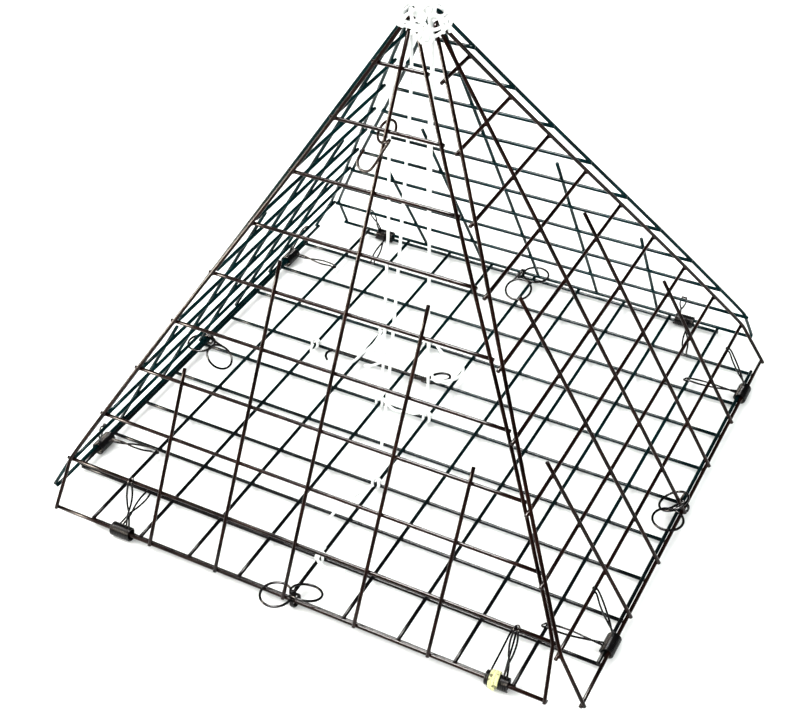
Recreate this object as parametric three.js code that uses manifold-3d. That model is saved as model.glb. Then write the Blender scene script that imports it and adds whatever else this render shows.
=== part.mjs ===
// Folding pyramid crab trap: a welded square base grid, four welded triangular
// side panels that hinge on its edges, eight torsion springs, four double-ring
// ties and a cord that draws the four panel tips together.
// Millimetres, +Z up, +X along the front edge, +Y from front to back. The origin
// is the centre of the base, on the surface that the trap stands on.
import * as THREE from "three";
import { mergeVertices } from "three/addons/utils/BufferGeometryUtils.js";
import Module from "manifold-3d";

const wasm = await Module();
wasm.setup();

// ---- driving dimensions ----
const cell = 40.6;                 // pitch of the base grid
const half = 5 * cell;             // base centre to base edge
const wireR = 1.3;                 // radius of the grid wire
const gap = 0.3;                   // clearance between pieces that touch
const weldStep = 2.2;              // height between two welded layers of wire
const lowZ = 3.8;                  // height of the base wires that run along X
const highZ = lowZ + weldStep;     // height of the base wires that run along Y
const stub = 1.2;                  // wire end past the wire that it is welded to

const hingeOut = 3.0;              // hinge wire outside the base edge wire
const hingeZ = 6.2;                // height of the hinge wires
const panelL = 9.58 * cell;        // hinge wire to panel tip, up the slope
const firstRow = 0.927 * cell;     // lowest cross wire above the hinge wire
const rowPitch = 0.974 * cell;
const rows = 9;
const barPitch = 1.326 * cell;     // between the upright wires
const barTops = [3.15 * cell, 5.35 * cell];    // tops of the outer, inner uprights
const footHalf = 4.643 * cell;     // half the width at the hinge wire
const hipHalf = 4.544 * cell;      // half the width at the lowest cross wire
const rimBow = 0.03 * cell;        // the rim bows out below its middle, in above it
const tipR = 3.4;                  // bend radius of the rim at the tip
const rowEnds = [3.4, 1.5];        // cross wire ends past the rim, left and right

const springWire = 1.4;
const coilOut = 5.0;               // flat of the coil to its axis
const coilIn = 3.6;
const coilLength = 17;
const coilSides = 12;
const coilZ = coilOut;             // the coils are what the trap stands on
const coilBack = hingeOut / 2;     // coil axis outside the base edge wire
const legHalf = 1.2;               // half the width of a leg at its root
const loopHalf = 2.3;              // half the width of the loop at a leg's tip
const loopLength = 7;
const panelRootAt = [5, 3.9, 2.2]; // root of a panel leg: along the coil, up the slope, outward
const baseRootAt = [-3, 3.6, 2.4]; // root of a base leg: along the coil, inward, up
const hookPast = wireR + springWire / 2 + gap + 0.6;   // a leg's hook past the wire it holds
const tieWrapR = 4.25;             // a tie's turn around both hinge wires
const tieLeave = THREE.MathUtils.degToRad(41);   // where the tie's ends leave its turn
const tieRingR = 0.265 * cell;

const cordR = 1.1;
const tightCordR = 1.0;            // the cord where it is pulled tight in a knot
const wrapDown = 11;               // tip wrap below the tip of its panel
const knots = {                    // hitches on the base, at crossings of the grid
  back_left: [-2, 2], back: [-1, 2], left: [-1, 0], centre: [0, 0],
  front: [0, -2], front_edge: [0, -4], far_left: [-3, 1],
};

const hookR = 0.9;                 // wire of the hook on the front panel
const hookRingR = 7.3;
const hookTilt = 6.2;              // rise of the ring's edge above its middle
const clipR = 1.0;                 // wire of the bait clip
const clipZ = highZ + wireR + gap + clipR + 0.1;
const twistR = 2.1;                // the clip's twisted sleeve
const twistLength = 13;

// Each cord's route, point by point, in millimetres.
const cordRoutes = {
  cord_leg_front: [[-4, -15.2, 329], [-3.6, -16, 300], [-2.6, -32, 210], [-1.4, -56, 96], [-0.4, -76, 24],
    [0, -81.2, 10.1]],
  cord_leg_right: [[9.2, -10.8, 329], [8.4, -10, 300], [4.4, -6, 200], [1.6, -2.4, 90], [0.2, -0.4, 26],
    [0, 0, 10.1]],
  cord_leg_back: [[1.2, 5.8, 329], [-1.6, 9, 300], [-16, 32, 200], [-29, 60, 92], [-39, 78, 24],
    [-40.6, 81.2, 10.1]],
  cord_leg_left: [[-9.3, 0.4, 329], [-15, 0.6, 312], [-23.5, -0.6, 294], [-31.6, 0, 160], [-38.6, 0, 34],
    [-40.6, 0, 10.1]],
  cord_tail_left: [[-80.6, 75.6, 8.9], [-78.6, 66, 8.8], [-77.4, 56, 9.4], [-77.4, 46, 11.2],
    [-78, 37, 12.4], [-80, 29, 11], [-84.6, 22.6, 9], [-92, 19.2, 8], [-104, 18.2, 8], [-114, 22, 8.6],
    [-120, 29, 8.9], [-121.8, 34.8, 8.9]],
  cord_tail_front: [[0, -87.4, 8.9], [-3, -94, 8.9], [-7.4, -104, 8.2], [-11, -116, 7.4], [-12.6, -128, 7],
    [-10.6, -140, 7.4], [-5.6, -150, 8.4], [-0.6, -156.4, 8.9]],
  cord_tail_end: [[0.6, -168.4, 8.9], [5.4, -171.6, 8.6], [11, -171.4, 7.2], [17, -168.6, 6.6],
    [22, -168, 6.4]],
  cord_link: [[-37.2, -1.6, 10.4], [-31, -4.6, 8.4], [-24, -5.6, 7], [-17, -3.2, 7], [-10, -3.8, 8.2],
    [-4, -1.6, 10.4]],
  cord_loop_right: [[-37.6, 75.2, 9], [-33, 65, 8.2], [-26, 53.6, 8.6], [-19.8, 45, 10.4], [-15.6, 38.6, 12],
    [-13, 35, 12.5], [-9.6, 33.4, 12.6], [-6.2, 34.6, 12.5], [-3.4, 38.2, 11.8], [0.4, 45.4, 9.6],
    [2.2, 53.6, 8.9], [0.4, 61.2, 8.9], [-5, 66, 8.4], [-12, 68.6, 8], [-20, 71, 8], [-28.6, 76, 8.4],
    [-33.6, 80.2, 9.2]],
  cord_loop_left: [[-74.4, 50, 8.6], [-69.6, 53, 7.6], [-63, 53, 7.2], [-58.4, 48.6, 8.2], [-57.6, 41, 11.4],
    [-60, 34.4, 12.2], [-65.6, 30, 10.4], [-71.6, 29.6, 8.6]],
};

// Each side: turn about Z, slope of the closed panel in degrees, slide of the
// panel along its hinge, and where along the edge its springs, their leg tips and
// its tie sit, in grid cells. A ring of the tie has its place along the edge and
// inward in cells, its height in millimetres and its dip inward in degrees.
const sides = [
  { name: "front", turn: 0, slope: 60.1, slide: -0.08, tie: 0.06,
    springs: [
      { name: "left", at: -3.37, panelTip: -3.34, baseTip: -3.5 },
      { name: "right", at: 3.74, panelTip: 3.86, baseTip: 3.56, band: [-5.2, 1.6] },
    ],
    rings: [{ at: -0.2, in: -0.1, z: 8.6, dip: 0 }, { at: 0.24, in: 0.135, z: 9.9, dip: 20 }] },
  { name: "right", turn: 90, slope: 59.3, slide: -0.27, tie: -0.07,
    springs: [
      { name: "front", at: -3.58, panelTip: -3.36, baseTip: -3.74 },
      { name: "back", at: 3.34, panelTip: 3.4, baseTip: 3.16 },
    ],
    rings: [{ at: -0.19, in: 0.15, z: 11, dip: 27 }, { at: -0.6, in: 0.107, z: 8.6, dip: 0 }] },
  { name: "back", turn: 180, slope: 58.8, slide: -0.03, tie: 0.27,
    springs: [
      { name: "right", at: -3.3, panelTip: -3.36, baseTip: -3.68 },
      { name: "left", at: 3.59, panelTip: 3.73, baseTip: 3.33 },
    ],
    rings: [{ at: -0.02, in: 0, z: 8.6, dip: 0 }, { at: 0.06, in: 0.74, z: 11.7, dip: 19 }] },
  { name: "left", turn: 270, slope: 59.3, slide: -0.01, tie: -0.12,
    springs: [
      { name: "back", at: -3.37, panelTip: -3.42, baseTip: -3.4 },
      { name: "front", at: 3.33, panelTip: 3.7, baseTip: 3.16 },
    ],
    rings: [{ at: 0.1, in: 0.02, z: 8.6, dip: 0 }, { at: 0.33, in: 0.6, z: 9.2, dip: 36 }] },
];

// ---- materials ----
const nearSteel = new THREE.MeshStandardMaterial({ color: 0x1d1412, roughness: 0.35, metalness: 0.6 });
const farSteel = new THREE.MeshStandardMaterial({ color: 0x0c2322, roughness: 0.4, metalness: 0.6 });
const springSteel = new THREE.MeshStandardMaterial({ color: 0x17171a, roughness: 0.35, metalness: 0.7 });
const whiteCord = new THREE.MeshStandardMaterial({ color: 0xf2f4f1, roughness: 0.85, metalness: 0 });
const yellowCord = new THREE.MeshStandardMaterial({ color: 0xe6e29a, roughness: 0.8, metalness: 0 });

// ---- solids ----

// A path that passes straight from point to point, turning a little at each.
class PointPath extends THREE.Curve {
  constructor(points) {
    super();
    this.points = points;
  }
  getPoint(t) {
    const at = t * (this.points.length - 1);
    const low = Math.min(Math.floor(at), this.points.length - 2);
    return this.points[low].clone().lerp(this.points[low + 1], at - low);
  }
  getPointAt(u) {
    return this.getPoint(u);
  }
  getTangentAt(u) {
    const last = this.points.length - 1;
    const at = Math.round(u * last);
    const before = this.points[Math.max(at - 1, 0)];
    const after = this.points[Math.min(at + 1, last)];
    return after.clone().sub(before).normalize();
  }
}

function toSolid(geometry) {
  const bare = geometry.clone();
  bare.deleteAttribute("normal");
  bare.deleteAttribute("uv");
  const merged = mergeVertices(bare, 1e-4);
  const triVerts = new Uint32Array(merged.index.array);
  const vertProperties = new Float32Array(merged.attributes.position.array);
  return new wasm.Manifold(new wasm.Mesh({ numProp: 3, vertProperties, triVerts }));
}

function toGeometry(solid) {
  const mesh = solid.getMesh();
  const geometry = new THREE.BufferGeometry();
  geometry.setAttribute("position", new THREE.BufferAttribute(new Float32Array(mesh.vertProperties), 3));
  geometry.setIndex(new THREE.BufferAttribute(new Uint32Array(mesh.triVerts), 1));
  geometry.computeVertexNormals();
  return geometry;
}

function join(solids) {
  return solids.reduce((whole, next) => whole.add(next));
}

// A many-sided section with a flat side facing the path's normal.
function section(radius, count) {
  const corner = radius / Math.cos(Math.PI / count);
  const points = [];
  for (let i = 0; i < count; i += 1) {
    const angle = ((2 * i + 1) * Math.PI) / count;
    points.push(new THREE.Vector2(corner * Math.cos(angle), corner * Math.sin(angle)));
  }
  return new THREE.Shape(points);
}

function sweep(points, radius, count) {
  const extrudePath = new PointPath(points);
  const steps = points.length - 1;
  return new THREE.ExtrudeGeometry(section(radius, count), { steps, extrudePath, bevelEnabled: false });
}

function gridWire(...points) {
  return toSolid(sweep(points.map(([x, y, z]) => new THREE.Vector3(x, y, z)), wireR * 0.93, 6));
}

function mesh(name, geometry, material) {
  const made = new THREE.Mesh(geometry, material);
  made.name = name;
  return made;
}

// ---- base ----

// Nine wires each way run right across; an edge wire closes each side but
// leaves the four corner cells open.
function baseGrid() {
  const reach = half + stub;
  const edgeReach = 4 * cell + stub;
  const wires = [];
  for (let i = -5; i <= 5; i += 1) {
    const across = Math.abs(i) === 5 ? edgeReach : reach;
    wires.push(gridWire([-across, i * cell, lowZ], [across, i * cell, lowZ]));
    wires.push(gridWire([i * cell, -across, highZ], [i * cell, across, highZ]));
  }
  return toGeometry(join(wires));
}

// ---- panels: X along the hinge, Y up the slope, Z outward ----

function rimHalf(y) {
  const up = (y - firstRow) / (panelL - firstRow);
  return hipHalf * (1 - up) + rimBow * Math.sin(2 * Math.PI * up);
}

// The rim runs up from the hinge wire, bends in at the hip, comes to a narrow
// round tip and goes down the other side.
function rimPoints() {
  const lean = Math.atan2(hipHalf, panelL - firstRow);
  const left = [[-footHalf, -stub], [-hipHalf - 0.6, firstRow - 8], [-hipHalf + 0.2, firstRow - 1]];
  const bends = 10;
  for (let i = 0; i < bends; i += 1) {
    const y = firstRow + 7 + (i * (panelL - firstRow - 32)) / (bends - 1);
    left.push([-rimHalf(y), y]);
  }
  const tipY = panelL - tipR / Math.sin(lean);
  const arc = [];
  const arcSteps = 6;
  for (let i = 0; i <= arcSteps; i += 1) {
    const angle = Math.PI - lean - (i * (Math.PI - 2 * lean)) / arcSteps;
    arc.push([tipR * Math.cos(angle), tipY + tipR * Math.sin(angle)]);
  }
  const right = left.map(([x, y]) => [-x, y]).reverse();
  return [...left, ...arc, ...right].map(([x, y]) => [x, y, weldStep]);
}

function panel() {
  const wires = [gridWire([-footHalf - stub, 0, 0], [footHalf + stub, 0, 0])];
  for (let i = 0; i < rows; i += 1) {
    const y = firstRow + i * rowPitch;
    const [left, right] = rowEnds.map((end) => rimHalf(y) + end);
    wires.push(gridWire([-left, y, 0], [right, y, 0]));
  }
  for (const side of [-1, 1]) {
    barTops.forEach((top, i) => {
      const x = side * (2 - i) * barPitch;
      wires.push(gridWire([x, -stub, weldStep], [x, top, weldStep]));
    });
  }
  wires.push(gridWire([0, -stub, weldStep], [0, panelL - 2.5 * tipR, weldStep]));
  wires.push(gridWire(...rimPoints()));
  return toGeometry(join(wires));
}

// ---- springs and ties: one side's frame, X along the edge, Y inward ----

// A place on a closed panel: along the hinge, up the slope, outward.
function onPanel(slope, along, up, out) {
  const y = -half - hingeOut + up * Math.cos(slope) - out * Math.sin(slope);
  const z = hingeZ + up * Math.sin(slope) + out * Math.cos(slope);
  return new THREE.Vector3(along, y, z);
}

function coil(length, inner, outer) {
  const flat = 1 / Math.cos(Math.PI / coilSides);
  const profile = [[inner, -length / 2], [outer, -length / 2], [outer, length / 2], [inner, length / 2],
    [inner, -length / 2]].map(([r, h]) => new THREE.Vector2(r * flat, h));
  return new THREE.LatheGeometry(profile, coilSides)
    .rotateY(Math.PI / coilSides)
    .rotateZ(-Math.PI / 2);
}

// A leg is a narrow loop of the spring wire: up from the coil, over the wire that
// it holds, and back.
function leg(root, tip, rootHalf, hookDepth, hookDown) {
  const along = new THREE.Vector3(1, 0, 0);
  const up = tip.clone().sub(root).normalize();
  const place = (x, back, down) => tip.clone()
    .addScaledVector(along, x)
    .addScaledVector(up, -back)
    .addScaledVector(hookDown, down);
  const bendX = loopHalf * 0.8;
  const bendDown = hookDepth * 0.6;
  const points = [root.clone().addScaledVector(along, -rootHalf), place(-loopHalf, loopLength, 0)];
  points.push(place(-loopHalf, loopLength / 2, 0), place(-bendX, springWire / 2, bendDown));
  points.push(place(0, 0, hookDepth));
  points.push(place(bendX, springWire / 2, bendDown), place(loopHalf, loopLength / 2, 0));
  points.push(place(loopHalf, loopLength, 0), root.clone().addScaledVector(along, rootHalf));
  return toSolid(sweep(points, springWire / 2, 5));
}

function sleeve(from, to, inner, outer, x) {
  const centreY = -half - coilBack;
  return coil(to - from, inner, outer).translate(x + (from + to) / 2, centreY, coilZ);
}

function spring({ at, panelTip, baseTip, band }, slope, edgeZ) {
  const x = at * cell;
  const centreY = -half - coilBack;
  const upSlope = new THREE.Vector3(0, Math.cos(slope), Math.sin(slope));
  const outward = new THREE.Vector3(0, -Math.sin(slope), Math.cos(slope));

  const [rootAlong, rootUp, rootOut] = panelRootAt;
  const panelRoot = new THREE.Vector3(x + rootAlong, centreY, coilZ)
    .addScaledVector(upSlope, rootUp)
    .addScaledVector(outward, rootOut);
  const panelEnd = onPanel(slope, panelTip * cell, firstRow + hookPast, hookPast);
  const panelLeg = leg(panelRoot, panelEnd, legHalf, 1.8, outward.clone().negate());

  const [baseAlong, baseIn, baseUp] = baseRootAt;
  const middle = band ? (band[0] + band[1]) / 2 : baseAlong;
  const rootHalf = band ? (band[1] - band[0]) / 2 + legHalf : legHalf;
  const baseRoot = new THREE.Vector3(x + middle, centreY + baseIn, coilZ + baseUp);
  const baseEnd = new THREE.Vector3(baseTip * cell, -half + cell + hookPast, edgeZ + hookPast);
  const baseLeg = leg(baseRoot, baseEnd, rootHalf, 1.4, new THREE.Vector3(0, 0, -1));

  const end = coilLength / 2;
  const spans = band ? [[-end, band[0] - gap], [band[1] + gap, end]] : [[-end, end]];
  const sleeves = spans.map(([from, to]) => toSolid(sleeve(from, to, coilIn, coilOut, x)));
  return toGeometry(join([...sleeves, panelLeg, baseLeg]));
}

// A tie is one wire: it wraps both hinge wires once, and each end runs a little
// way and curls into a ring that lies over the wires, level or dipping inward.
function tie({ tie: at, rings }) {
  const tube = springWire / 2;
  const wrap = new THREE.TorusGeometry(tieWrapR, tube, 5, 12).rotateY(Math.PI / 2);
  const solids = [toSolid(wrap.translate(at * cell, -half - coilBack, coilZ))];
  const start = new THREE.Vector3(0, Math.cos(tieLeave), Math.sin(tieLeave)).multiplyScalar(tieWrapR);
  start.add(new THREE.Vector3(at * cell, -half - coilBack, coilZ));
  for (const ring of rings) {
    const dip = -THREE.MathUtils.degToRad(ring.dip);
    const centre = new THREE.Vector3(ring.at * cell, -half - coilBack + ring.in * cell, ring.z);
    const curl = new THREE.TorusGeometry(tieRingR, tube, 5, 16).rotateX(dip);
    solids.push(toSolid(curl.translate(centre.x, centre.y, centre.z)));
    const flat = start.clone().sub(centre).applyAxisAngle(new THREE.Vector3(1, 0, 0), -dip).setZ(0);
    const end = flat.setLength(tieRingR).applyAxisAngle(new THREE.Vector3(1, 0, 0), dip).add(centre);
    solids.push(toSolid(sweep([start, end], tube * 0.8, 5)));
  }
  return toGeometry(join(solids));
}

// ---- hook on the front panel: X along the hinge, Y up the slope, Z outward ----

// The ring threads round the crossing of two wires, so it is tilted: outside
// them at the lower right and inside them at the upper left. Then the wire runs
// down to an open hook.
function wireHook() {
  const points = [];
  const ringSteps = 16;
  for (let i = 0; i <= ringSteps; i += 1) {
    const turn = THREE.MathUtils.degToRad(15 + (i * 310) / ringSteps);
    const lift = weldStep / 2 + hookTilt * Math.cos(turn + Math.PI / 4);
    points.push(new THREE.Vector3(hookRingR * Math.cos(turn), hookRingR * Math.sin(turn), lift));
  }
  for (const [x, y, z] of [[2, -14, 6.6], [-2.4, -24.4, 6.4], [-5, -26.6, 6], [-9, -27, 5.2],
    [-12.6, -25, 4.6], [-13.8, -21.5, 4.2], [-11.4, -14, 3.6]]) {
    points.push(new THREE.Vector3(x, y, z));
  }
  return sweep(points, hookR, 5).translate(0, firstRow + 7 * rowPitch, 0);
}

// ---- bait clip, lying on the base ----

// An open hook, a straight shank, a short twisted sleeve and a bent-up loop.
function baitClip() {
  const hook = [[-2.5, 0.56], [-2.59, 0.66], [-2.61, 0.78], [-2.54, 0.87], [-2.4, 0.9]];
  const shank = [[-2.2, 0.9], [-0.7, 0.9]];
  const loop = [[-0.46, 0.93], [-0.43, 1.06], [-0.34, 1.17], [-0.22, 1.22], [-0.13, 1.2], [-0.1, 1.12],
    [-0.17, 1.0], [-0.28, 0.88], [-0.4, 0.82], [-0.56, 0.82]];
  const points = [...hook, ...shank, ...loop].map(([x, y]) => new THREE.Vector3(x * cell, y * cell, clipZ));
  const wire = toSolid(sweep(points, clipR, 5));
  const twist = new THREE.CylinderGeometry(twistR, twistR, twistLength, 8).rotateZ(Math.PI / 2);
  return toGeometry(join([wire, toSolid(twist.translate(-0.62 * cell, 0.88 * cell, clipZ))]));
}

// ---- cord ----

function cord(points, steps) {
  const route = new THREE.CatmullRomCurve3(points.map(([x, y, z]) => new THREE.Vector3(x, y, z)));
  return sweep(route.getSpacedPoints(steps), cordR, 8);
}

// Two turns of cord round the narrow top of a panel, a little below its tip.
function tipWrap() {
  const inner = [rimHalf(panelL - wrapDown) + 2.2 * wireR, wireR + 0.1 + gap];
  const oval = ([x, y], grow) => {
    const shape = new THREE.Shape();
    const round = y + grow;
    const straight = x - y;
    shape.absarc(straight, 0, round, -Math.PI / 2, Math.PI / 2, false);
    shape.absarc(-straight, 0, round, Math.PI / 2, (3 * Math.PI) / 2, false);
    return shape;
  };
  const outline = oval(inner, 2 * cordR);
  outline.holes.push(oval(inner, 0));
  return new THREE.ExtrudeGeometry(outline, { depth: 4 * cordR, bevelEnabled: false, curveSegments: 4 })
    .rotateX(-Math.PI / 2)
    .translate(0, panelL - wrapDown, weldStep);
}

// A hitch at a crossing of the base: a turn of cord each side of the lower wire,
// round the upper one, with a bridge over the top.
function baseKnot() {
  const round = wireR + 0.1 + gap + tightCordR;
  const offset = round + 0.7;
  const turns = [-offset, offset].map((y) => toSolid(
    new THREE.TorusGeometry(round, tightCordR, 5, 9).rotateX(Math.PI / 2).translate(0, y, 0)));
  const ends = [-offset, offset].map((y) => new THREE.Vector3(0, y, round));
  return toGeometry(join([...turns, toSolid(sweep(ends, tightCordR, 6))]));
}

// ---- assembly ----

const trap = new THREE.Group();
trap.add(mesh("base_grid", baseGrid(), farSteel));
const panelShape = panel();
const wrapShape = tipWrap();
for (const side of sides) {
  const slope = THREE.MathUtils.degToRad(side.slope);
  const group = new THREE.Group();
  group.rotation.z = THREE.MathUtils.degToRad(side.turn);
  const near = side.name === "front" || side.name === "right";
  const leaf = new THREE.Group();
  leaf.position.set(side.slide * cell, -half - hingeOut, hingeZ);
  leaf.rotation.x = slope;
  leaf.add(mesh(`panel_${side.name}`, panelShape, near ? nearSteel : farSteel));
  leaf.add(mesh(`tip_wrap_${side.name}`, wrapShape, whiteCord));
  if (side.name === "front") {
    leaf.add(mesh("wire_hook", wireHook(), nearSteel));
  }
  group.add(leaf);
  const edgeZ = side.turn % 180 === 0 ? lowZ : highZ;
  for (const one of side.springs) {
    group.add(mesh(`spring_${side.name}_${one.name}`, spring(one, slope, edgeZ), springSteel));
    if (one.band) {
      group.add(mesh("spring_band", sleeve(...one.band, coilIn, coilOut, one.at * cell), yellowCord));
    }
  }
  group.add(mesh(`hinge_tie_${side.name}`, tie(side), springSteel));
  trap.add(group);
}
trap.add(mesh("bait_clip", baitClip(), springSteel));
const knotShape = baseKnot();
for (const [name, [i, j]] of Object.entries(knots)) {
  const knot = mesh(`base_knot_${name}`, knotShape, whiteCord);
  knot.position.set(i * cell, j * cell, highZ);
  trap.add(knot);
}
for (const [name, route] of Object.entries(cordRoutes)) {
  trap.add(mesh(name, cord(route, name.includes("leg") ? 26 : 16), whiteCord));
}

export default trap;
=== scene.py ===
import math
from collections import namedtuple

import bpy
import numpy as np
from mathutils import Matrix, Vector


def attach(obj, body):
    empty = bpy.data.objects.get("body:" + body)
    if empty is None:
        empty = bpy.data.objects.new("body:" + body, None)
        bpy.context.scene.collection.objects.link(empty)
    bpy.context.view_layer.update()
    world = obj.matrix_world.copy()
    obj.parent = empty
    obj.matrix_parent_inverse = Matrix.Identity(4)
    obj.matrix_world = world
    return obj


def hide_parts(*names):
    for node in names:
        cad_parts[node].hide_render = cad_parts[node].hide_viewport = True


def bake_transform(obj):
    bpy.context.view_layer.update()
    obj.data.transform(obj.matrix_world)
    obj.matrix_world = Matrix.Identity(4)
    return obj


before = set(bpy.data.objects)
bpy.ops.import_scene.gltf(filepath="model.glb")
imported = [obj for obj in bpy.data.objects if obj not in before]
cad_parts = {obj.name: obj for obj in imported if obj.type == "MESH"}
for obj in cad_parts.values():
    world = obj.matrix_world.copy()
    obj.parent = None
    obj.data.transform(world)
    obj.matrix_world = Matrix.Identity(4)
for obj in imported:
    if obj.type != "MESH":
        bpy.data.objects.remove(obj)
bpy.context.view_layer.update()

# The dimensions of the solids, in millimetres; every mesh is made in metres.
MM = 0.001
CELL = 40.6
EDGE = 5  # cells from the centre to an edge wire
HALF = EDGE * CELL

# Welded wire: two crossing wires lie WELD_STEP apart, centre to centre.
WIRE_R = 1.3
WIRE_SIDES = 12
BASE_STEPS = 20
PANEL_STEPS = 12
GAP = 0.3
WELD_STEP = 2.2
LOW_Z = 3.8
HIGH_Z = LOW_Z + WELD_STEP
STUB = 1.2
WELD = 1.8
EDGE_WELD = 1.4
WELD_HALF_THICK = 1.25

# Panels: places up the slope are measured from the hinge wire.
HINGE_OUT = 3.0
HINGE_Z = 6.2
PANEL_L = 9.58 * CELL
FIRST_ROW = 0.927 * CELL
ROW_PITCH = 0.974 * CELL
ROWS = [FIRST_ROW + i * ROW_PITCH for i in range(9)]
BAR_PITCH = 1.326 * CELL
BAR_TOPS = (3.15 * CELL, 5.35 * CELL)
FOOT_HALF = 4.643 * CELL
HIP_HALF = 4.544 * CELL
RIM_BOW = 0.03 * CELL
RIM_STEPS = 9
TIP_R = 3.4
TIP_STEPS = 8
ROW_ENDS = (3.4, 1.5)

# Springs: a leg's root is given from the coil's centre, along the hinge, then along the
# panel or base and off it.
SPRING_WIRE = 1.4
SPRING_SIDES = 8
COIL_OUT = 5.0
COIL_LENGTH = 17.0
COIL_PITCH = SPRING_WIRE * 1.02
COIL_STEPS = 18
COIL_Z = COIL_OUT
COIL_BACK = HINGE_OUT / 2
LEG_HALF = 1.2
LEG_SPREAD = 2.3
EYE_HALF = 1.5
PANEL_EYE_DEPTH = 1.8
BASE_EYE_DEPTH = 1.4
PANEL_ROOT = (5, 3.9, 2.2)
BASE_ROOT = (-3, 3.6, 2.4)
HOOK_PAST = WIRE_R + SPRING_WIRE / 2 + GAP + 0.6

# The braid round one coil: where it starts and ends, and how its laps lie.
BAND = (-5.2, 1.6)
BAND_UNDER = 0.4  # the coil's turns run on this far under it
BAND_INSET = 0.8
BAND_PITCH = 2.1
BAND_LAP_R = 5.3
BAND_CORD_R = 1.2
BAND_LOW_Z = 1.25
BAND_STEPS = 28

TIE_WRAP_R = 4.25
TIE_LAPS = 2
TIE_STEPS = 40
TIE_PITCH = 1.5
TIE_LEAVE = math.radians(41)
TIE_RING_R = 0.265 * CELL
TIE_RING_LEAD = 0.35
TIE_RING_STEPS = 26
TIE_RING_WIRE_R = 0.9

CORD_R = 1.1
CORD_SIDES = 12
KNOT_GAP = 0.1

CLIP_R = 1.0
CLIP_Z = HIGH_Z + WIRE_R + GAP + CLIP_R + 0.1
TWIST_AT = (-0.62 * CELL, 0.88 * CELL)
TWIST_LENGTH = 12
TWIST_LAPS = 7
TWIST_STEPS = 120
TWIST_LAP_R = 1.4
TWIST_R = 0.8

HOOK_R = 0.9
HOOK_ROW = 7
HOOK_RING_R = 7.3
HOOK_RING_FROM, HOOK_RING_SWEEP = 15, 310  # degrees
HOOK_RING_STEPS = 16
HOOK_TILT = 6.2

# The lashing: turns of cord round each panel's tip, how far each bight reaches toward the
# next tip, and the knot.
WRAP_SPAN = (PANEL_L - 10.5, PANEL_L - 5.2)
WRAP_NARROWEST = PANEL_L - 6
WRAP_LAPS = 2
WRAP_STEPS = 24
WRAP_SLACK = 0.2
WRAP_LIFT = 0.35
BIGHTS = {"front": 11.0, "right": 13.0, "back": 9.0, "left": 11.0}
FRONT_KNOT = (12.8, 13.0, 1.8)  # right, down and out from the front panel's tip
FRONT_KNOT_R = 5.0

# Lengths in cells and angles in degrees. springs: (which, place, panel tip, base tip);
# rings: (along, inward, height in millimetres, dip).
Side = namedtuple("Side", "name turn slope slide tie_at springs rings")
SIDES = (
    Side("front", 0, 60.1, -0.08, 0.06,
         (("left", -3.37, -3.34, -3.5), ("right", 3.74, 3.86, 3.56)),
         ((-0.2, -0.1, 8.6, 0), (0.24, 0.135, 9.9, 20))),
    Side("right", 90, 59.3, -0.27, -0.07,
         (("front", -3.58, -3.36, -3.74), ("back", 3.34, 3.4, 3.16)),
         ((-0.19, 0.15, 11, 27), (-0.6, 0.107, 8.6, 0))),
    Side("back", 180, 58.8, -0.03, 0.27,
         (("right", -3.3, -3.36, -3.68), ("left", 3.59, 3.73, 3.33)),
         ((-0.02, 0, 8.6, 0), (0.06, 0.74, 11.7, 19))),
    Side("left", 270, 59.3, -0.01, -0.12,
         (("back", -3.37, -3.42, -3.4), ("front", 3.33, 3.7, 3.16)),
         ((0.1, 0.02, 8.6, 0), (0.33, 0.6, 9.2, 36))),
)
FRONT = SIDES[0]


# ---- camera ----

CAMERA_AT = (0.3753, -0.7451, 0.7346)
CAMERA_RIGHT = (0.88618, 0.46319, -0.01207)
CAMERA_FORWARD = (-0.36777, 0.6873, -0.62639)
SENSOR_WIDTH = 36.0
LENS = 65.26


def make_camera():
    data = bpy.data.cameras.new("camera")
    camera = bpy.data.objects.new("camera", data)
    bpy.context.scene.collection.objects.link(camera)
    right = Vector(CAMERA_RIGHT).normalized()
    forward = Vector(CAMERA_FORWARD).normalized()
    up = right.cross(forward).normalized()
    right = forward.cross(up)
    turn = Matrix((right, up, -forward)).transposed().to_4x4()
    camera.matrix_world = Matrix.Translation(Vector(CAMERA_AT)) @ turn
    data.sensor_width = SENSOR_WIDTH
    data.lens = LENS
    data.clip_start = 0.01
    bpy.context.scene.camera = camera


make_camera()


# ---- mesh helpers ----

def smooth(points, per=8):
    """A Catmull-Rom curve through the points, with per steps between each pair."""
    p = [np.array(q, float) for q in points]
    p = [2 * p[0] - p[1]] + p + [2 * p[-1] - p[-2]]
    out = []
    for i in range(1, len(p) - 2):
        a, b, c, d = p[i - 1:i + 3]
        t0 = 0.0
        t1 = t0 + max(np.linalg.norm(b - a), 1e-6) ** 0.5
        t2 = t1 + max(np.linalg.norm(c - b), 1e-6) ** 0.5
        t3 = t2 + max(np.linalg.norm(d - c), 1e-6) ** 0.5
        for k in range(per):
            t = t1 + (t2 - t1) * k / per
            a1 = (t1 - t) / (t1 - t0) * a + (t - t0) / (t1 - t0) * b
            a2 = (t2 - t) / (t2 - t1) * b + (t - t1) / (t2 - t1) * c
            a3 = (t3 - t) / (t3 - t2) * c + (t - t2) / (t3 - t2) * d
            b1 = (t2 - t) / (t2 - t0) * a1 + (t - t0) / (t2 - t0) * a2
            b2 = (t3 - t) / (t3 - t1) * a2 + (t - t1) / (t3 - t1) * a3
            out.append((t2 - t) / (t2 - t1) * b1 + (t - t1) / (t2 - t1) * b2)
    out.append(p[-2])
    return out


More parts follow.
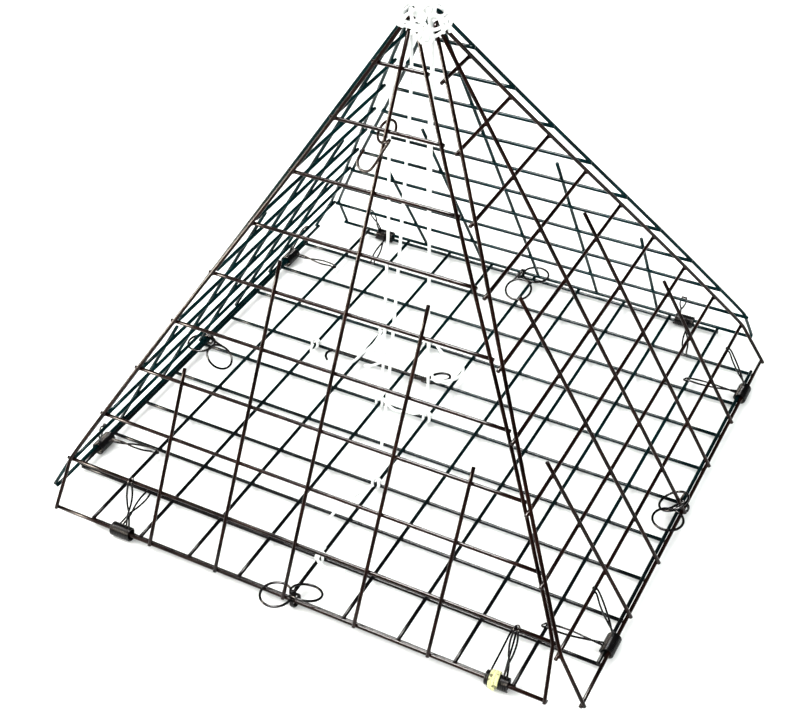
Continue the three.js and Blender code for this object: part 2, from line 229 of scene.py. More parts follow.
class Tubes:
    """Round wires and cords gathered into one mesh, in millimetres."""

    BEVEL = 0.16  # length of the bevel at a cut end, in radii
    END = 0.8  # width of the cut end, in radii

    def __init__(self):
        self.verts = []
        self.faces = []
        self.uvs = []

    def tube(self, points, radius, sides=10):
        p = np.array(points, float)
        tangents = np.gradient(p, axis=0)
        tangents /= np.linalg.norm(tangents, axis=1)[:, None]
        first, last = p[0], p[-1]
        p = np.vstack([first, first + tangents[0] * self.BEVEL * radius, p[1:-1],
                       last - tangents[-1] * self.BEVEL * radius, last])
        tangents = np.vstack([tangents[0], tangents[0], tangents[1:-1], tangents[-1], tangents[-1]])
        n = len(p)
        radii = np.full(n, radius, float)
        radii[[0, -1]] *= self.END
        guide = np.array((0, 0, 1.0)) if abs(tangents[0][2]) < 0.9 else np.array((1.0, 0, 0))
        normal = np.cross(tangents[0], guide)
        normal /= np.linalg.norm(normal)
        start = len(self.verts)
        run = 0.0
        runs = []
        for i in range(n):
            if i:
                run += float(np.linalg.norm(p[i] - p[i - 1]))
                normal = normal - tangents[i] * normal.dot(tangents[i])
                normal /= np.linalg.norm(normal)
            runs.append(run)
            side = np.cross(tangents[i], normal)
            for k in range(sides):
                a = 2 * math.pi * k / sides
                self.verts.append(p[i] + radii[i] * (math.cos(a) * normal + math.sin(a) * side))
        full = 2 * math.pi * float(radii.mean())
        for i in range(n - 1):
            u0, u1 = runs[i], runs[i + 1]
            for k in range(sides):
                m = (k + 1) % sides
                self.faces.append((start + i * sides + k, start + i * sides + m,
                                   start + (i + 1) * sides + m, start + (i + 1) * sides + k))
                v0, v1 = full * k / sides, full * (k + 1) / sides
                self.uvs.extend(((u0, v0), (u0, v1), (u1, v1), (u1, v0)))
        for row, flip in ((0, True), (n - 1, False)):
            ring = [start + row * sides + k for k in range(sides)]
            self.faces.append(tuple(reversed(ring)) if flip else tuple(ring))
            self.uvs.extend([(runs[row], 0.0)] * sides)

    def straight(self, a, b, steps):
        a, b = np.array(a, float), np.array(b, float)
        self.tube([a + (b - a) * k / steps for k in range(steps + 1)], WIRE_R, WIRE_SIDES)

    def bead(self, centre, size):
        """A small rounded lump, such as the squeezed metal of a weld."""
        sides, rows = 10, 5
        c = np.array(centre, float)
        start = len(self.verts)
        for i in range(1, rows):
            polar = math.pi * i / rows
            for k in range(sides):
                a = 2 * math.pi * k / sides
                ray = (math.sin(polar) * math.cos(a), math.sin(polar) * math.sin(a), math.cos(polar))
                self.verts.append(c + np.array(ray) * size)
        top = len(self.verts)
        self.verts.append(c + np.array((0, 0, size[2])))
        self.verts.append(c - np.array((0, 0, size[2])))
        for k in range(sides):
            m = (k + 1) % sides
            self.faces.append((top, start + k, start + m))
            self.uvs.extend([(0.0, 0.0)] * 3)
            for i in range(rows - 2):
                a, b = start + i * sides, start + (i + 1) * sides
                self.faces.append((a + k, b + k, b + m, a + m))
                self.uvs.extend([(0.0, 0.0)] * 4)
            low = start + (rows - 2) * sides
            self.faces.append((top + 1, low + m, low + k))
            self.uvs.extend([(0.0, 0.0)] * 3)

    def weld(self, x, y, z, size=WELD):
        self.bead((x, y, z), (size, size, WELD_HALF_THICK))

    def make(self, name, material, place=None):
        mesh = bpy.data.meshes.new(name)
        verts = np.array(self.verts) * MM
        mesh.from_pydata(verts.tolist(), [], self.faces)
        layer = mesh.uv_layers.new(name="UVMap")
        layer.data.foreach_set("uv", np.array(self.uvs, np.float32).ravel())
        if place is not None:
            mesh.transform(place)
        mesh.polygons.foreach_set("use_smooth", [True] * len(mesh.polygons))
        mesh.update()
        mesh.materials.append(material)
        made = bpy.data.objects.new(name, mesh)
        bpy.context.scene.collection.objects.link(made)
        return made


def side_place(side):
    return Matrix.Rotation(math.radians(side.turn), 4, "Z")


def panel_place(side):
    at = Matrix.Translation(Vector((side.slide * CELL, -HALF - HINGE_OUT, HINGE_Z)) * MM)
    return side_place(side) @ at @ Matrix.Rotation(math.radians(side.slope), 4, "X")


def settle(made, node, body):
    """The piece stands for its CAD node and rides on its body."""
    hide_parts(node)
    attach(made, body)


# ---- materials ----

# How rough a coating is where its cloudy pattern is lowest and where it is highest.
COATING_ROUGHNESS = (0.16, 0.28)
# A braid's strands, in millimetres along the cord and round it.
BRAID_PITCH = 1.7
BRAID_STRAND = 1.73


def nodes_of(name):
    material = bpy.data.materials.new(name)
    material.use_nodes = True
    tree = material.node_tree
    shader = tree.nodes["Principled BSDF"]
    return material, tree, shader


def add(tree, kind, inputs=(), **settings):
    node = tree.nodes.new(kind)
    for key, value in settings.items():
        setattr(node, key, value)
    for key, value in dict(inputs).items():
        if isinstance(value, bpy.types.NodeSocket):
            tree.links.new(value, node.inputs[key])
        else:
            node.inputs[key].default_value = value
    return node


def noise(tree, scale, detail, rough=0.55):
    where = add(tree, "ShaderNodeTexCoord")
    cloud = add(tree, "ShaderNodeTexNoise", {
        "Vector": where.outputs["Object"], "Scale": scale, "Detail": detail, "Roughness": rough})
    return cloud.outputs["Fac"]


def ramp(tree, factor, stops):
    """Colours or plain values at the stops, which are places from 0 to 1."""
    node = add(tree, "ShaderNodeValToRGB", {"Fac": factor})
    elements = node.color_ramp.elements
    for element, (at, colour) in zip(elements, stops):
        element.position = at
        element.color = (colour, colour, colour, 1.0) if np.isscalar(colour) else (*colour, 1.0)
    return node.outputs["Color"]


def blend_of(tree, factor, colour, second):
    mixed = add(tree, "ShaderNodeMix", data_type="RGBA")
    tree.links.new(factor, mixed.inputs["Factor"])
    tree.links.new(colour, mixed.inputs["A"])
    mixed.inputs["B"].default_value = (*second, 1.0)
    return mixed.outputs["Result"]


def calculate(tree, operation, *values):
    return add(tree, "ShaderNodeMath", dict(enumerate(values)), operation=operation).outputs[0]


def shine(tree, shader, cloud):
    rough = ramp(tree, cloud, ((0.3, COATING_ROUGHNESS[0]), (0.75, COATING_ROUGHNESS[1])))
    tree.links.new(rough, shader.inputs["Roughness"])


def bump(tree, shader, height, strength, distance):
    raised = add(tree, "ShaderNodeBump", {
        "Height": height, "Strength": strength, "Distance": distance})
    tree.links.new(raised.outputs["Normal"], shader.inputs["Normal"])


def wire_material(name, dark, light, speck_glint, specular, front=None):
    """Thin coating over steel wire: cloudy colour, a few pale specks of painted glint, a fine grain,
    and where front is given, a browner tone toward the front edge."""
    material, tree, shader = nodes_of(name)
    cloud = noise(tree, scale=55.0, detail=4.0)
    colour = ramp(tree, cloud, ((0.3, dark), (0.7, light)))
    if front is not None:
        where = add(tree, "ShaderNodeTexCoord")
        split = add(tree, "ShaderNodeSeparateXYZ", {"Vector": where.outputs["Object"]})
        share = add(tree, "ShaderNodeMapRange", {"Value": split.outputs["Y"], "From Min": -0.2,
                                                 "From Max": 0.05, "To Min": 1.0, "To Max": 0.0})
        colour = blend_of(tree, share.outputs["Result"], colour, front)
    # Pale specks where the fleck noise is highest: painted glints on the coating.
    fleck = noise(tree, scale=700.0, detail=2.0, rough=0.7)
    glint_speck_mask = ramp(tree, fleck, ((0.7, 0.0), (0.78, 1.0)))
    colour = blend_of(tree, glint_speck_mask, colour, speck_glint)
    tree.links.new(colour, shader.inputs["Base Color"])
    shine(tree, shader, cloud)
    bump(tree, shader, noise(tree, scale=1500.0, detail=2.0), strength=0.14, distance=0.0002)
    shader.inputs["Specular IOR Level"].default_value = specular
    return material


def spring_material():
    """Dark oiled spring wire, with the fine grain of drawing."""
    material, tree, shader = nodes_of("spring_steel")
    cloud = noise(tree, scale=260.0, detail=3.0)
    colour = ramp(tree, cloud, ((0.3, (0.003, 0.003, 0.004)), (0.75, (0.01, 0.009, 0.009))))
    tree.links.new(colour, shader.inputs["Base Color"])
    shine(tree, shader, cloud)
    shader.inputs["Specular IOR Level"].default_value = 0.35
    bump(tree, shader, noise(tree, scale=2400.0, detail=2.0), strength=0.12, distance=0.0001)
    return material


def braid_height(tree):
    """Two sets of slanting strands that pass over and under each other, in the tube's own
    millimetres."""
    uv = add(tree, "ShaderNodeUVMap", uv_map="UVMap")
    split = add(tree, "ShaderNodeSeparateXYZ", {"Vector": uv.outputs["UV"]})
    waves = []
    for sign in (1.0, -1.0):
        along = calculate(tree, "MULTIPLY", split.outputs["X"], 1.0 / BRAID_PITCH)
        around = calculate(tree, "MULTIPLY", split.outputs["Y"], sign / BRAID_STRAND)
        both = calculate(tree, "ADD", along, around)
        angle = calculate(tree, "MULTIPLY", both, 2 * math.pi)
        waves.append(calculate(tree, "SINE", angle))
    crossed = calculate(tree, "MULTIPLY", *waves)
    return calculate(tree, "MULTIPLY_ADD", crossed, 0.5, 0.5)


def cord_material(name, valley_shade, crest, fleck=None):
    material, tree, shader = nodes_of(name)
    height = braid_height(tree)
    # The braid's valleys are coloured darker than its crests: painted shade between the strands.
    colour = ramp(tree, height, ((0.1, valley_shade), (0.6, crest)))
    if fleck is not None:
        spots = noise(tree, scale=330.0, detail=1.0)
        colour = blend_of(tree, ramp(tree, spots, ((0.56, 0.0), (0.6, 1.0))), colour, fleck)
    tree.links.new(colour, shader.inputs["Base Color"])
    shader.inputs["Roughness"].default_value = 0.82
    shader.inputs["Sheen Weight"].default_value = 0.35
    shader.inputs["Subsurface Weight"].default_value = 0.12
    shader.inputs["Subsurface Radius"].default_value = (0.001, 0.001, 0.001)
    bump(tree, shader, height, strength=0.8, distance=0.0003)
    return material


# Near-black coating; its lighter brown stop paints brownish highlight streaks on the near wires:
# painted highlight.
near_steel = wire_material("near_steel", dark=(0.003, 0.001, 0.001), light=(0.02, 0.006, 0.0035),
                           speck_glint=(0.06, 0.045, 0.038), specular=0.26)
far_steel = wire_material("far_steel", dark=(0.0008, 0.007, 0.008), light=(0.0015, 0.026, 0.029),
                          speck_glint=(0.02, 0.035, 0.033), specular=0.12)
base_steel = wire_material("base_steel", dark=(0.0008, 0.006, 0.007), light=(0.0015, 0.019, 0.021),
                           speck_glint=(0.02, 0.035, 0.033), specular=0.2, front=(0.005, 0.0032, 0.0038))
spring_steel = spring_material()
white_cord = cord_material("white_cord", valley_shade=(0.66, 0.69, 0.67), crest=(0.96, 0.97, 0.96))
yellow_cord = cord_material("yellow_cord", valley_shade=(0.45, 0.44, 0.16), crest=(0.8, 0.8, 0.42),
                            fleck=(0.14, 0.14, 0.05))


# ---- cords ----

# Each route in millimetres; a leg's starts at the tip.
CORD_LEGS = {
    "front": ((-4, -15.2, 329), (-3.6, -16, 300), (-2.6, -32, 210), (-1.4, -56, 96),
              (-0.4, -76, 24), (0, -81.2, 10.1)),
    "right": ((9.2, -10.8, 329), (8.4, -10, 300), (4.4, -6, 200), (1.6, -2.4, 90),
              (0.2, -0.4, 26), (0, 0, 10.1)),
    "back": ((1.2, 5.8, 329), (-1.6, 9, 300), (-16, 32, 200), (-29, 60, 92),
             (-39, 78, 24), (-40.6, 81.2, 10.1)),
    "left": ((-9.3, 0.4, 329), (-15, 0.6, 312), (-23.5, -0.6, 294), (-31.6, 0, 160),
             (-38.6, 0, 34), (-40.6, 0, 10.1)),
}
LOOSE_CORDS = {
    "tail_left": (("cord_tail_left",), (
        (-80.6, 75.6, 8.9), (-78.6, 66, 8.8), (-77.4, 56, 9.4), (-77.4, 46, 11.2), (-78, 37, 12.4),
        (-80, 29, 11), (-84.6, 22.6, 9), (-92, 19.2, 8), (-104, 18.2, 8), (-114, 22, 8.6),
        (-120, 29, 8.9), (-121.8, 34.8, 8.9))),
    "tail_front": (("cord_tail_front", "cord_tail_end"), (
        (0, -87.4, 8.9), (-3, -94, 8.9), (-7.4, -104, 8.2), (-11, -116, 7.4), (-12.6, -128, 7),
        (-10.6, -140, 7.4), (-5.6, -150, 8.4), (-0.6, -156.4, 8.9), (0.2, -162, 10.6),
        (0.6, -168.4, 8.9), (5.4, -171.6, 8.6), (11, -171.4, 7.2), (17, -168.6, 6.6),
        (22, -168, 6.4))),
    "link": (("cord_link",), (
        (-37.2, -1.6, 10.4), (-31, -4.6, 8.4), (-24, -5.6, 7), (-17, -3.2, 7),
        (-10, -3.8, 8.2), (-4, -1.6, 10.4))),
    "loop_right": (("cord_loop_right",), (
        (-37.6, 75.2, 9), (-33, 65, 8.2), (-26, 53.6, 8.6), (-19.8, 45, 10.4), (-15.6, 38.6, 12),
        (-13, 35, 12.5), (-9.6, 33.4, 12.6), (-6.2, 34.6, 12.5), (-3.4, 38.2, 11.8), (0.4, 45.4, 9.6),
        (2.2, 53.6, 8.9), (0.4, 61.2, 8.9), (-5, 66, 8.4), (-12, 68.6, 8), (-20, 71, 8),
        (-28.6, 76, 8.4), (-33.6, 80.2, 9.2))),
    "loop_left": (("cord_loop_left",), (
        (-74.4, 50, 8.6), (-69.6, 53, 7.6), (-63, 53, 7.2), (-58.4, 48.6, 8.2), (-57.6, 41, 11.4),
        (-60, 34.4, 12.2), (-65.6, 30, 10.4), (-71.6, 29.6, 8.6))),
}


def cord_piece(name, route, per, stands_for):
    """A cord along the route, with per steps between each pair of its points."""
    path = smooth(route, per)
    cord = Tubes()
    cord.tube(path, CORD_R, CORD_SIDES)
    made = cord.make(f"cord_{name}_braid", white_cord)
    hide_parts(*stands_for)
    return made


for name, route in CORD_LEGS.items():
    made = cord_piece("leg_" + name, route[::-1], 10, ["cord_leg_" + name])
    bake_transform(made)

for name, (stands_for, route) in LOOSE_CORDS.items():
    made = cord_piece(name, route, 4, stands_for)
    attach(made, "base")


# ---- base grid ----

def base_grid():
    tubes = Tubes()
    reach = HALF + STUB
    edge = (EDGE - 1) * CELL + STUB
    for i in range(-EDGE, EDGE + 1):
        across = edge if abs(i) == EDGE else reach
        tubes.straight((-across, i * CELL, LOW_Z), (across, i * CELL, LOW_Z), BASE_STEPS)
        tubes.straight((i * CELL, -across, HIGH_Z), (i * CELL, across, HIGH_Z), BASE_STEPS)
        for j in range(-EDGE, EDGE + 1):
            if abs(i) < EDGE or abs(j) < EDGE:
                size = EDGE_WELD if EDGE in (abs(i), abs(j)) else WELD
                tubes.weld(i * CELL, j * CELL, (LOW_Z + HIGH_Z) / 2, size)
    return tubes.make("base_grid_wires", base_steel)


# ---- panels ----

def rim_half(y):
    up = (y - FIRST_ROW) / (PANEL_L - FIRST_ROW)
    return HIP_HALF * (1 - up) + RIM_BOW * math.sin(2 * math.pi * up)


def rim_points():
    """Up the left side, round the narrow tip and down the right side."""
    lean = math.atan2(HIP_HALF, PANEL_L - FIRST_ROW)
    left = [(-FOOT_HALF, -STUB), (-FOOT_HALF + (FOOT_HALF - HIP_HALF - 0.6) * 0.5, FIRST_ROW / 2 - 4),
            (-HIP_HALF - 0.6, FIRST_ROW - 8), (-HIP_HALF + 0.2, FIRST_ROW - 1)]
    for k in range(RIM_STEPS + 1):
        y = FIRST_ROW + 7 + k * (PANEL_L - FIRST_ROW - 32) / RIM_STEPS
        left.append((-rim_half(y), y))
    tip_y = PANEL_L - TIP_R / math.sin(lean)
    arc = []
    for i in range(TIP_STEPS + 1):
        angle = math.pi - lean - i * (math.pi - 2 * lean) / TIP_STEPS
        arc.append((TIP_R * math.cos(angle), tip_y + TIP_R * math.sin(angle)))
    right = [(-x, y) for x, y in left[::-1]]
    return [(x, y, WELD_STEP) for x, y in left + arc + right]


def panel(side, material):
    tubes = Tubes()
    tubes.straight((-FOOT_HALF - STUB, 0, 0), (FOOT_HALF + STUB, 0, 0), PANEL_STEPS)
    for y in ROWS:
        left, right = (rim_half(y) + end for end in ROW_ENDS)
        tubes.straight((-left, y, 0), (right, y, 0), PANEL_STEPS)
    bars = [(0.0, PANEL_L - 2.5 * TIP_R)]
    for hand in (-1, 1):
        for i, top in enumerate(BAR_TOPS):
            bars.append((hand * (2 - i) * BAR_PITCH, top))
    for x, top in bars:
        tubes.straight((x, -STUB, WELD_STEP), (x, top, WELD_STEP), PANEL_STEPS)
        for y in [0.0] + ROWS:
            if y < top + 0.5 and abs(x) < rim_half(y) + 3:
                tubes.weld(x, y, WELD_STEP / 2, WELD if y else EDGE_WELD)
    tubes.tube(smooth(rim_points(), 4), WIRE_R, WIRE_SIDES)
    for hand in (-1, 1):
        tubes.weld(hand * FOOT_HALF, 0, WELD_STEP / 2, EDGE_WELD)
        for y in ROWS:
            tubes.weld(hand * rim_half(y), y, WELD_STEP / 2)
    return tubes.make(f"panel_{side.name}_wires", material, panel_place(side))


settle(base_grid(), "base_grid", "base")
for side in SIDES:
    near = side.name in ("front", "right")
    settle(panel(side, near_steel if near else far_steel), "panel_" + side.name, "panel_" + side.name)


# ---- springs ----

def coil_centre(at):
    return np.array((at * CELL, -HALF - COIL_BACK, COIL_Z))


def leg_points(root, tip, root_half, depth, down, crossed):
    """A loop of wire from the coil that hooks over at its tip; the two strands of a crossed
    one pass over each other near the coil, before they open into the loop."""
    along = np.array((1.0, 0, 0))
    up = (tip - root) / np.linalg.norm(tip - root)
    over = np.cross(along, up)

    def at(x, back, drop):
        return tip + along * x - up * back + down * drop

    def strand(hand):
        if not crossed:
            foot = root + along * hand * root_half
            return [foot, foot * 0.55 + at(hand * LEG_SPREAD * 0.5, 0, 0) * 0.45]
        foot = root - along * hand * root_half
        lift = over * SPRING_WIRE * 0.56 * hand
        cross = root * 0.72 + tip * 0.28
        opened = root * 0.52 + tip * 0.48 + along * hand * LEG_SPREAD * 0.7
        return [foot, cross + lift, opened + lift * 0.4]

    wide = root * 0.3 + tip * 0.7
    eye = [at(-EYE_HALF, 3.4, 0), at(-EYE_HALF, 1.2, depth * 0.6), at(0, 0, depth),
           at(EYE_HALF, 1.2, depth * 0.6), at(EYE_HALF, 3.4, 0)]
    return (strand(-1) + [wide - along * LEG_SPREAD] + eye + [wide + along * LEG_SPREAD]
            + strand(1)[::-1])


def spring_coil(node, side, at, base_tip, band):
    """The close-wound coil, which stays on the base, with the leg that holds a base wire."""
    tubes = Tubes()
    centre = coil_centre(at)
    wire = SPRING_WIRE / 2
    turn_r = COIL_OUT - wire
    end = COIL_LENGTH / 2 - wire
    spans = [(-end, end)]
    if band:
        spans = [(-end, band[0] + BAND_UNDER), (band[1] - BAND_UNDER, end)]
    for low, high in spans:
        turns = (high - low) / COIL_PITCH
        count = int(turns * COIL_STEPS)
        path = []
        for i in range(count + 1):
            a = 2 * math.pi * turns * i / count
            path.append(centre + np.array((low + (high - low) * i / count,
                                           turn_r * math.cos(a), turn_r * math.sin(a))))
        tubes.tube(path, wire, SPRING_SIDES)
    edge_z = LOW_Z if side.turn % 180 == 0 else HIGH_Z
    tip = np.array((base_tip * CELL, -HALF + CELL + HOOK_PAST, edge_z + HOOK_PAST))
    root_half = (band[1] - band[0]) / 2 + LEG_HALF if band else LEG_HALF
    root_x = (band[0] + band[1]) / 2 if band else BASE_ROOT[0]
    root = centre + np.array((root_x, BASE_ROOT[1], BASE_ROOT[2]))
    points = leg_points(root, tip, root_half, BASE_EYE_DEPTH, np.array((0, 0, -1.0)), not band)
    tubes.tube(smooth(points, 5), wire, SPRING_SIDES)
    return tubes.make(node + "_coil", spring_steel, side_place(side))


def spring_leg(node, side, at, panel_tip):
    """The leg hooked over the panel, which goes round the coil with the panel."""
    tubes = Tubes()
    slope = math.radians(side.slope)
    outward = np.array((0, -math.sin(slope), math.cos(slope)))
    up_slope = np.array((0, math.cos(slope), math.sin(slope)))
    along, up, out = PANEL_ROOT
    root = coil_centre(at) + np.array((along, 0, 0)) + up_slope * up + outward * out
    hinge = np.array((panel_tip * CELL, -HALF - HINGE_OUT, HINGE_Z))
    tip = hinge + up_slope * (FIRST_ROW + HOOK_PAST) + outward * HOOK_PAST
    points = leg_points(root, tip, LEG_HALF, PANEL_EYE_DEPTH, -outward, True)
    tubes.tube(smooth(points, 5), SPRING_WIRE / 2, SPRING_SIDES)
    return tubes.make(node + "_leg", spring_steel, side_place(side))


def band_sleeve(at):
    """Braided cord round the middle of one coil, pressed flat where it meets the ground."""
    tubes = Tubes()
    laps = (BAND[1] - BAND[0] - 2 * BAND_INSET) / BAND_PITCH
    path = []
    count = int(laps * BAND_STEPS)
    for k in range(count + 1):
        a = 2 * math.pi * laps * k / count
        y, z = BAND_LAP_R * math.cos(a), BAND_LAP_R * math.sin(a)
        z = max(z, BAND_LOW_Z - COIL_Z)
        path.append((at * CELL + BAND[0] + BAND_INSET + BAND_PITCH * laps * k / count,
                     -HALF - COIL_BACK + y, COIL_Z + z))
    tubes.tube(path, BAND_CORD_R)
    return tubes.make("spring_band_braid", yellow_cord)


def tie(side):
    """One thin wire wrapped round both hinge wires, with a ring at each end of it."""
    tubes = Tubes()
    centre = coil_centre(side.tie_at)
    away = 1.0 if side.tie_at >= 0 else -1.0
    path = []
    for k in range(TIE_STEPS + 1):
        a = TIE_LEAVE + 2 * math.pi * TIE_LAPS * k / TIE_STEPS
        shift = away * TIE_PITCH * (k / TIE_STEPS) * TIE_LAPS
        path.append(centre + np.array((shift, TIE_WRAP_R * math.cos(a), TIE_WRAP_R * math.sin(a))))
    tubes.tube(path, SPRING_WIRE / 2, SPRING_SIDES)
    rings = sorted(side.rings, key=lambda ring: away * ring[0])
    for start, hand, (ring_at, ring_in, ring_z, dip) in zip((path[0], path[-1]), (-1.0, 1.0), rings):
        spin = Matrix.Rotation(-math.radians(dip), 3, "X")
        middle = np.array((ring_at * CELL, -HALF - COIL_BACK + ring_in * CELL, ring_z))
        flat = spin.inverted() @ Vector(start - middle)
        near = math.atan2(flat.y, flat.x)
        points = [start]
        for k in range(TIE_RING_STEPS + 1):
            a = near + hand * (TIE_RING_LEAD + 2 * math.pi * k / TIE_RING_STEPS)
            spot = Vector((math.cos(a) * TIE_RING_R, math.sin(a) * TIE_RING_R, 0.0))
            points.append(middle + np.array(spin @ spot))
        tubes.tube(smooth(points, 3), TIE_RING_WIRE_R, SPRING_SIDES)
    return tubes.make(f"hinge_tie_{side.name}_wire", spring_steel, side_place(side))


for side in SIDES:
    for which, at, panel_tip, base_tip in side.springs:
        node = f"spring_{side.name}_{which}"
        band = BAND if node == "spring_front_right" else None
        settle(spring_coil(node, side, at, base_tip, band), node, "base")
        made = spring_leg(node, side, at, panel_tip)
        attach(made, "panel_" + side.name)
        if band:
            settle(band_sleeve(at), "spring_band", "base")
    settle(tie(side), "hinge_tie_" + side.name, "base")


# ---- hook and clip ----

def wire_hook():
    """An open ring threaded round a crossing of the front panel, with a hook below it."""
    points = []
    for i in range(HOOK_RING_STEPS + 1):
        a = math.radians(HOOK_RING_FROM + i * HOOK_RING_SWEEP / HOOK_RING_STEPS)
        lift = WELD_STEP / 2 + HOOK_TILT * math.cos(a + math.pi / 4)
        points.append((HOOK_RING_R * math.cos(a), HOOK_RING_R * math.sin(a), lift))
    points += [(2, -14, 6.6), (-2.4, -24.4, 6.4), (-5, -26.6, 6), (-9, -27, 5.2),
               (-12.6, -25, 4.6), (-13.8, -21.5, 4.2), (-11.4, -14, 3.6)]
    lifted = [(x, y + ROWS[HOOK_ROW], z) for x, y, z in points]
    tubes = Tubes()
    tubes.tube(smooth(lifted, 5), HOOK_R)
    return tubes.make("wire_hook_wire", near_steel, panel_place(FRONT))


def bait_clip():
    """A wire clip flat on the base: its long loop and hook, and a twist round the shank."""
    tubes = Tubes()
    cells = [(-2.5, 0.56), (-2.59, 0.66), (-2.61, 0.78), (-2.54, 0.87), (-2.4, 0.9), (-2.2, 0.9),
             (-1.5, 0.9), (-0.7, 0.9), (-0.46, 0.93), (-0.43, 1.06), (-0.34, 1.17), (-0.22, 1.22),
             (-0.13, 1.2), (-0.1, 1.12), (-0.17, 1.0), (-0.28, 0.88), (-0.4, 0.82), (-0.56, 0.82)]
    tubes.tube(smooth([(x * CELL, y * CELL, CLIP_Z) for x, y in cells], 4), CLIP_R)
    twist = []
    for k in range(TWIST_STEPS + 1):
        a = 2 * math.pi * TWIST_LAPS * k / TWIST_STEPS
        twist.append((TWIST_AT[0] - TWIST_LENGTH / 2 + TWIST_LENGTH * k / TWIST_STEPS,
                      TWIST_AT[1] + TWIST_LAP_R * math.cos(a), CLIP_Z + TWIST_LAP_R * math.sin(a)))
    tubes.tube(twist, TWIST_R, SPRING_SIDES)
    return tubes.make("bait_clip_wire", spring_steel)


settle(wire_hook(), "wire_hook", "panel_front")
settle(bait_clip(), "bait_clip", "base")


# ---- knots and tip wraps ----

# The crossing of the base that each hitch is round, in cells from the centre.
KNOTS = {
    "back_left": (-2, 2), "back": (-1, 2), "left": (-1, 0), "centre": (0, 0),
    "front": (0, -2), "front_edge": (0, -4), "far_left": (-3, 1),
}


def base_knot(name, i, j, turn):
    """A hitch: two turns round the upper wire, crossed over the top, and pulled tight."""
    r = WIRE_R + KNOT_GAP + CORD_R
    path = [(-r - 0.4, -1.0, 1.2), (-r, -3.2, -0.6), (0, -3.4, -r - 0.1), (r, -3.2, 0),
            (1.6, -1.6, r + 0.2), (-1.6, 1.6, r + 0.5), (-r, 3.2, 0), (0, 3.4, -r - 0.1),
            (r, 3.0, -0.2), (r + 0.4, 0.8, 1.6), (0.6, -0.4, r + 2.0), (-2.4, -0.6, 2.2)]
    spun = [Matrix.Rotation(turn, 3, "Z") @ Vector(q) for q in path]
    tubes = Tubes()
    tubes.tube(smooth(spun, 5), CORD_R)
    place = Matrix.Translation(Vector((i * CELL, j * CELL, HIGH_Z)) * MM)
    return tubes.make("base_knot_" + name + "_cord", white_cord, place)


def wrap_turns():
    """Flat turns of cord round a panel's two rim wires and its centre upright."""
    low, high = WRAP_SPAN
    path = []
    for k in range(WRAP_LAPS * WRAP_STEPS + 1):
        a = 2 * math.pi * k / WRAP_STEPS
        up = low + (high - low) * k / (WRAP_LAPS * WRAP_STEPS)
        wide = rim_half(min(up, WRAP_NARROWEST)) + WIRE_R + CORD_R + WRAP_SLACK
        thick = WIRE_R + CORD_R + WRAP_LIFT
        flat = math.copysign(abs(math.sin(a)) ** 0.7, math.sin(a))
        path.append((wide * math.cos(a), up + 0.4 * math.sin(1.5 * a), WELD_STEP + thick * flat))
    return path


def round_knot(centre, size, turns):
    """A lump of cord: loops round one centre, each one turned from the last."""
    path = []
    for lap in range(turns):
        spin = Matrix.Rotation(lap * math.pi / turns + 0.3, 3, "X") @ Matrix.Rotation(0.7 * lap, 3, "Y")
        for k in range(10):
            a = 2 * math.pi * k / 10
            reach = size - CORD_R * (0.9 if lap % 2 else 0.5)
            spot = spin @ Vector((reach * math.cos(a), reach * math.sin(a), 0.8 * math.sin(2 * a)))
            path.append(centre + np.array(spot))
    return smooth(path, 4)


def tip_wrap(side):
    """Turns of cord round a panel's tip, a strand over the top of it and a bight toward
    the next tip; the front panel's has the knot that closes the lashing."""
    tubes = Tubes()
    top = PANEL_L
    lift = WIRE_R + CORD_R + GAP
    tubes.tube(wrap_turns(), CORD_R)
    over = [(-3.4, top - 11, WELD_STEP + lift + 1), (-2.6, top - 5, WELD_STEP + lift + 1.9),
            (0.6, top - 0.4, WELD_STEP + lift), (1.2, top + 1, WELD_STEP),
            (1.4, top - 0.6, WELD_STEP - lift), (0.4, top - 6, WELD_STEP - lift - 1.6)]
    tubes.tube(smooth(over, 6), CORD_R)
    tubes.tube(smooth([(-x, y + 0.4, z) for x, y, z in over], 6), CORD_R)
    reach = BIGHTS[side.name]
    bight = [(2, top - 9, WELD_STEP + lift + 1.6), (reach * 0.5, top - 5, WELD_STEP + lift + 1.2),
             (reach, top - 6.5, WELD_STEP + 1.5), (reach + 0.6, top - 9.5, WELD_STEP + 0.6),
             (reach * 0.6, top - 10.6, WELD_STEP + 1.6), (3.2, top - 12.6, WELD_STEP + lift + 1)]
    tubes.tube(smooth(bight, 6), CORD_R)
    if side is FRONT:
        right, down, out = FRONT_KNOT
        centre = np.array((right, top - down, WELD_STEP + out))
        tubes.tube(round_knot(centre, FRONT_KNOT_R, 3), CORD_R)
        tubes.tube(round_knot(centre, FRONT_KNOT_R / 2, 2), CORD_R)
        for end in ((5, top - 9, WELD_STEP + lift), (6.4, top - 14, WELD_STEP + lift)):
            middle = (np.array(end) + centre) / 2 + np.array((0, 0, 1.0))
            tubes.tube(smooth([end, middle, centre], 6), CORD_R)
    return tubes.make(f"tip_wrap_{side.name}_cord", white_cord, panel_place(side))


for index, (name, (i, j)) in enumerate(KNOTS.items()):
    made = base_knot(name, i, j, 0.0 if index % 2 else math.pi)
    settle(made, "base_knot_" + name, "base")
for side in SIDES:
    settle(tip_wrap(side), "tip_wrap_" + side.name, "panel_" + side.name)


# ---- floor, light ----

FLOOR_HALF = 6  # metres
LAMP_AIM = (0, 0, 0.1)
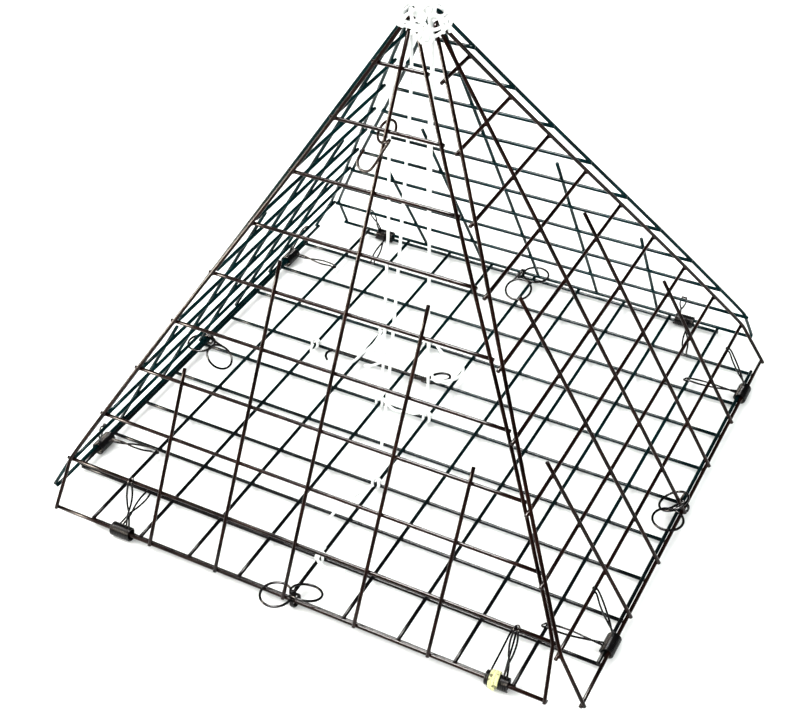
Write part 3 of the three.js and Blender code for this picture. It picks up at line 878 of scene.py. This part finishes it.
# Lamps: place and width in metres, watts, colour, and the way in which each doesn't show. The
# wide ones light everything softly; the small ones are only highlights on the wires.
LAMPS = (
    ("key", (-1.3, -0.5, 1.9), 1.3, 42, (1.0, 0.985, 0.96), "visible_glossy"),
    ("fill", (1.6, -1.2, 1.4), 1.4, 16, (0.97, 1.0, 0.99), "visible_glossy"),
    ("top_glint", (-0.35, -0.15, 1.6), 0.5, 90, (1.0, 0.98, 0.96), "visible_diffuse"),
    ("left_glint", (-1.2, -0.9, 0.6), 0.4, 55, (1.0, 0.9, 0.78), "visible_diffuse"),
)


def floor():
    material, tree, shader = nodes_of("floor")
    cloud = noise(tree, scale=2.0, detail=2.0)
    colour = ramp(tree, cloud, ((0.3, (0.94, 0.95, 0.945)), (0.7, (0.96, 0.965, 0.96))))
    tree.links.new(colour, shader.inputs["Base Color"])
    shader.inputs["Roughness"].default_value = 0.7
    mesh = bpy.data.meshes.new("floor")
    h = FLOOR_HALF
    mesh.from_pydata([(-h, -h, 0), (h, -h, 0), (h, h, 0), (-h, h, 0)], [], [(0, 1, 2, 3)])
    mesh.materials.append(material)
    made = bpy.data.objects.new("floor", mesh)
    bpy.context.scene.collection.objects.link(made)


def lamp(name, at, width, power, colour, unseen):
    data = bpy.data.lights.new(name, "AREA")
    data.shape = "RECTANGLE"
    data.size, data.size_y = width, width
    data.energy = power
    data.color = colour
    made = bpy.data.objects.new(name, data)
    bpy.context.scene.collection.objects.link(made)
    made.location = at
    made.rotation_euler = (Vector(LAMP_AIM) - Vector(at)).to_track_quat("-Z", "Y").to_euler()
    setattr(made, unseen, False)


def surroundings():
    """An even pale light from all round, which doesn't show on the wires."""
    world = bpy.data.worlds.new("studio")
    bpy.context.scene.world = world
    world.use_nodes = True
    background = world.node_tree.nodes["Background"]
    background.inputs["Color"].default_value = (0.98, 1.0, 0.99, 1.0)
    background.inputs["Strength"].default_value = 0.95
    world.cycles_visibility.glossy = False


floor()
for row in LAMPS:
    lamp(*row)
surroundings()
view = bpy.context.scene.view_settings
view.view_transform = "Standard"
view.look = "Medium High Contrast"
view.exposure = 0.05
